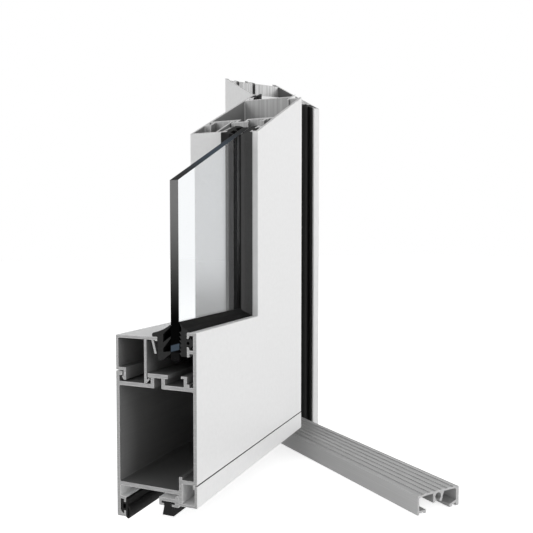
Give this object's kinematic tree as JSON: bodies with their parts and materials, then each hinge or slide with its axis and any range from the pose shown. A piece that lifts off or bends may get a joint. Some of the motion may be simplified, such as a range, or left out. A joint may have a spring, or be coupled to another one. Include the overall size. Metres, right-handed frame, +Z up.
{
  "type": "glazed aluminium door corner section",
  "caption": "Cutaway corner of a glazed aluminium door: bottom rail and hinge stile with glass, bead and gaskets, hung open on its jamb above a ribbed threshold.",
  "frame": {"origin": "on the end face of the jamb's middle leg, which stands against the wall, at floor level", "axes": "+X from the wall face along the threshold, +Y from the side the leaf opens to towards the side of the stop leg, +Z up"},
  "size_m": [0.2508, 0.2073, 0.3018],
  "materials": {
    "white_coating": "satin powder coat on aluminium",
    "mill_aluminium": "mill finish, matt",
    "cleat_aluminium": "mill finish",
    "black_rubber": "matt",
    "clear_glass": "clear float glass",
    "block_plastic": "matt",
    "hinge_coating": "satin powder coat on aluminium",
    "pin_steel": "plain steel"
  },
  "bodies": {
    "frame": {"hinge_jamb": "white_coating", "threshold": "mill_aluminium", "stop_gasket": "black_rubber", "jamb_hinge": "hinge_coating", "hinge_pin": "pin_steel"},
    "leaf": {"bottom_rail": "white_coating", "hinge_stile": "white_coating", "rail_bead": "white_coating", "stile_bead": "white_coating", "glass_pane": "clear_glass", "setting_block": "block_plastic", "rail_wedge_gasket": "black_rubber", "stile_wedge_gasket": "black_rubber", "rail_toothed_gasket": "black_rubber", "stile_toothed_gasket": "black_rubber", "rail_shoe": "white_coating", "drop_seal": "black_rubber", "rail_edge_seal": "black_rubber", "stile_edge_seal": "black_rubber", "corner_cleat": "cleat_aluminium", "leaf_hinge": "hinge_coating"}
  },
  "joints": [
    {"name": "leaf_swing", "type": "hinge", "parent": "frame", "child": "leaf", "pos_m": [0.0575, -0.059, 0.105], "axis": [0, 0, 1], "range_deg": [-117.54, 52.46]}
  ]
}
